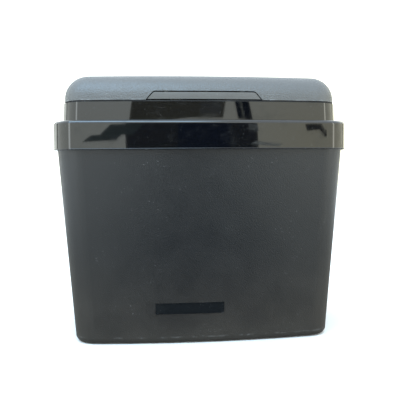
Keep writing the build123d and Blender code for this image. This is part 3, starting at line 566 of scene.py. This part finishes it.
def one_screw(head_radius, head_height, shank_radius, shank_length):
    """A pan-head screw with a tapered cross recess, its head's face at the origin and its shank below."""
    recess_reach = head_radius * 0.56
    recess_depth = head_height * 0.6
    recess_taper = 0.7
    crown_radius = head_radius * 0.80
    crown_drop = head_height * 0.45
    arms = 5
    arm_edge = recess_reach / arms * 1.01
    screw = bmesh.new()
    bmesh.ops.create_grid(screw, x_segments=arms, y_segments=arms, size=recess_reach)
    corners = []
    for face in screw.faces:
        middle = face.calc_center_median()
        if abs(middle.x) > arm_edge and abs(middle.y) > arm_edge:
            corners.append(face)
    bmesh.ops.delete(screw, geom=corners, context="FACES")
    cross = screw.faces[:]
    cross_rim = [edge for edge in screw.edges if edge.is_boundary]
    circle = bmesh.ops.create_circle(screw, cap_ends=False, radius=crown_radius, segments=24)
    crown = [edge for edge in screw.edges if edge.is_wire and edge.verts[0] in circle["verts"]]
    bmesh.ops.bridge_loops(screw, edges=cross_rim + crown)
    sunk = bmesh.ops.extrude_face_region(screw, geom=cross)["geom"]
    sunk_verts = [item for item in sunk if isinstance(item, bmesh.types.BMVert)]
    bmesh.ops.translate(screw, vec=(0.0, 0.0, -recess_depth), verts=sunk_verts)
    bmesh.ops.scale(screw, vec=(recess_taper, recess_taper, 1.0), verts=sunk_verts)
    bmesh.ops.delete(screw, geom=cross, context="FACES")
    for radius, depth in (
        (head_radius, crown_drop),
        (head_radius, head_height),
        (shank_radius, head_height),
        (shank_radius, head_height + shank_length),
    ):
        edges = [edge for edge in screw.edges if edge.is_boundary]
        ring = bmesh.ops.extrude_edge_only(screw, edges=edges)["geom"]
        for vert in [item for item in ring if isinstance(item, bmesh.types.BMVert)]:
            vert.co = Vector((vert.co.x, vert.co.y, 0.0)).normalized() * radius
            vert.co.z = -depth
    bmesh.ops.holes_fill(screw, edges=[edge for edge in screw.edges if edge.is_boundary])
    return screw


def cross_head_screws(node, body, head_radius, head_height, shank_radius, shank_length):
    """Cross-head screws in place of the plain ones in a CAD node."""
    screws = bmesh.new()
    for centre, facing in screw_places(node):
        screw = one_screw(head_radius, head_height, shank_radius, shank_length)
        turn = facing.to_track_quat("Z", "Y").to_matrix().to_4x4()
        bmesh.ops.transform(screw, matrix=Matrix.Translation(centre) @ turn, verts=screw.verts)
        one = bpy.data.meshes.new(node)
        screw.to_mesh(one)
        screw.free()
        screws.from_mesh(one)
        bpy.data.meshes.remove(one)
    piece = add_piece(f"cross_head_{node}", screws, zinc, body)
    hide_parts(node)


for node, body, head_radius, head_height, shank_radius, shank_length in (
    ("rim_screws", "box", 0.0034, 0.0020, 0.0016, 0.0060),
    ("keeper_screws", "box", 0.0028, 0.0014, 0.0015, 0.0012),
    ("liner_screws", "lid", 0.0030, 0.0018, 0.0014, 0.0056),
):
    cross_head_screws(node, body, head_radius, head_height, shank_radius, shank_length)
cover(ground_steel, "hinge_pin_left", "hinge_pin_right", "latch_pin")
cover(spring_leaf, "latch_spring")

# ---- Lid ------------------------------------------------------------------------------------------
# A rounded shell of grey polypropylene with a pebble grain that catches the light on its shoulder.
# The latch tab in its front edge is the same plastic, smooth where a thumb has rubbed it, and a flat
# liner closes the shell from below.

lid_plastic = moulded(
    "lid_plastic",
    colour=(0.086, 0.087, 0.087),
    pale=(0.42, 0.43, 0.44),
    roughness=0.38,
    grain=0.0018,
    depth=0.00050,
    wear_and_highlight_band=(0.2822, 0.2832),
)
cover(lid_plastic, "lid_shell")
tab_plastic = moulded(
    "tab_plastic",
    colour=(0.084, 0.082, 0.079),
    pale=(0.35, 0.35, 0.35),
    roughness=0.34,
    grain=0.0009,
    depth=0.00003,
)
cover(tab_plastic, "latch_tab")
liner_plastic = moulded(
    "liner_plastic",
    colour=(0.085, 0.088, 0.092),
    pale=(0.3, 0.3, 0.3),
    roughness=0.5,
    grain=0.0012,
    depth=0.00008,
)
cover(liner_plastic, "lid_liner")

# ---- Vent filter and mat --------------------------------------------------------------------------
# Open-cell foam stuck behind the vent slots keeps dust and insects out. A ribbed rubber mat on the
# floor stops the battery from sliding and keeps it off any spilt acid.


def foam(name, colour):
    """Open-cell foam: its pores are painted dark as shade in the hollows, between lighter walls."""
    made = Finish(name, colour, 0.95, specular=0.1)
    pore_size = 0.0013
    pore_shade, wall = shade_of(colour, 0.25), shade_of(colour, 1.6)
    pores = made.cells(pore_size)
    walls = made.noise(2400.0, detail=3.0, rough=0.6)
    # Painted shade: this mask darkens the pores towards the shade colour and lightens the walls.
    open_to_light = (pores.step(0.25, 0.75) + walls * 0.2).clamp()
    made.feed("Base Color", open_to_light.between(pore_shade, wall))
    made.feed("Roughness", (walls * 0.1 + 0.88).clamp())
    made.relief(pores * 0.8 + walls * 0.2, 0.0006)
    return made.material


cover(foam("filter_foam", (0.035, 0.035, 0.037)), "vent_filter")
cover(rubbery("mat_rubber", (0.018, 0.018, 0.019)), "battery_mat")

# ---- Battery --------------------------------------------------------------------------------------
# A 12 V deep-cycle battery: a grey polypropylene case with six cells, a darker welded cover with
# six filler plugs, and two tapered posts of cast lead under hinged caps, red for the positive one.
# A raised plus and minus sign on the cover mark the posts.

for node, plastic, colour, pale, roughness, grain, depth, scuff in (
    ("battery_case", "case_plastic", (0.17, 0.175, 0.18), (0.40,) * 3, 0.42, 0.0014, 0.00007, 1.0),
    ("battery_cover", "cover_plastic", (0.045, 0.047, 0.052), (0.26,) * 3, 0.40, 0.0012, 0.00007, 1.0),
    ("cell_plugs", "plug_plastic", (0.26, 0.20, 0.035), (0.50, 0.45, 0.30), 0.38, 0.0010, 0.00004, 1.0),
    ("positive_cap", "cap_red", (0.36, 0.022, 0.016), (0.60, 0.32, 0.30), 0.36, 0.0010, 0.00003, 0.7),
    ("negative_cap", "cap_black", (0.014, 0.014, 0.015), (0.25,) * 3, 0.36, 0.0010, 0.00003, 0.7),
):
    cover(moulded(plastic, colour, pale, roughness, grain, depth, scuff=scuff), node)
lead = steel("cast_lead", (0.33, 0.34, 0.36), 0.46, stain=(0.20, 0.20, 0.21), stretch=(240.0,) * 3)
cover(lead, "positive_post", "negative_post")
cover(ground_steel, "positive_cap_pin", "negative_cap_pin")

sign_size = 0.012
sign_height = 0.0008
sign_bevel = 0.0002
sign_inward, sign_forward = 0.026, 0.006
stroke_edge = sign_size / 6
cover_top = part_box("hold_down_bar")[0][2]
sign_plastic = moulded("sign_plastic", (0.045, 0.047, 0.052), (0.30, 0.30, 0.30), 0.30, 0.0012, 0.00003)
for name in ("positive", "negative"):
    mark = bmesh.new()
    bmesh.ops.create_grid(mark, x_segments=3, y_segments=3, size=sign_size / 2)
    spare = []
    for face in mark.faces:
        middle = face.calc_center_median()
        if abs(middle.y) > stroke_edge and (name == "negative" or abs(middle.x) > stroke_edge):
            spare.append(face)
    bmesh.ops.delete(mark, geom=spare, context="FACES")
    bmesh.ops.solidify(mark, geom=mark.faces[:], thickness=sign_height)
    sharp = [edge for edge in mark.edges if edge.calc_face_angle(0.0) > 1.0]
    bmesh.ops.bevel(
        mark, geom=sharp, offset=sign_bevel, segments=2, profile=0.5, affect="EDGES", material=-1
    )
    post_low, post_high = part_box(f"{name}_post")
    post = (Vector(post_low) + Vector(post_high)) / 2
    x = post.x - math.copysign(sign_inward, post.x)
    place = (x, post.y - sign_forward, cover_top + sign_height / 2)
    bmesh.ops.translate(mark, vec=place, verts=mark.verts)
    add_piece(f"{name}_sign", mark, sign_plastic, "box")

# ---- Hold-down ------------------------------------------------------------------------------------
# A pressed steel bar across the battery, powder coated black, pulled down by two zinc-plated rods
# with washers and wing nuts. The coat has a fine orange-peel surface and greyer, rubbed patches.


def powder_coat(name, colour):
    """Powder coat on steel: orange peel, with greyer patches where it is rubbed."""
    satin = 0.42
    made = Finish(name, colour, satin, coat=0.15)
    peel = made.noise(900.0)
    smudge = made.noise(60.0, detail=4.0, rough=0.6)
    rubbed = smudge.step(0.40, 0.80) * 0.5
    made.feed("Base Color", rubbed.between(shade_of(colour, 0.8), shade_of(colour, 2.2)))
    made.feed("Roughness", (smudge.swing(0.3) + satin).clamp())
    made.relief(peel, 0.00008)
    return made.material


cover(powder_coat("bar_coat", (0.018, 0.018, 0.019)), "hold_down_bar")
rolled_zinc = steel("rolled_zinc", (0.60, 0.61, 0.60), 0.36, stretch=(200.0, 200.0, 1400.0))
cover(rolled_zinc, "hold_down_rods")
cover(zinc, "hold_down_washers", "wing_nuts")
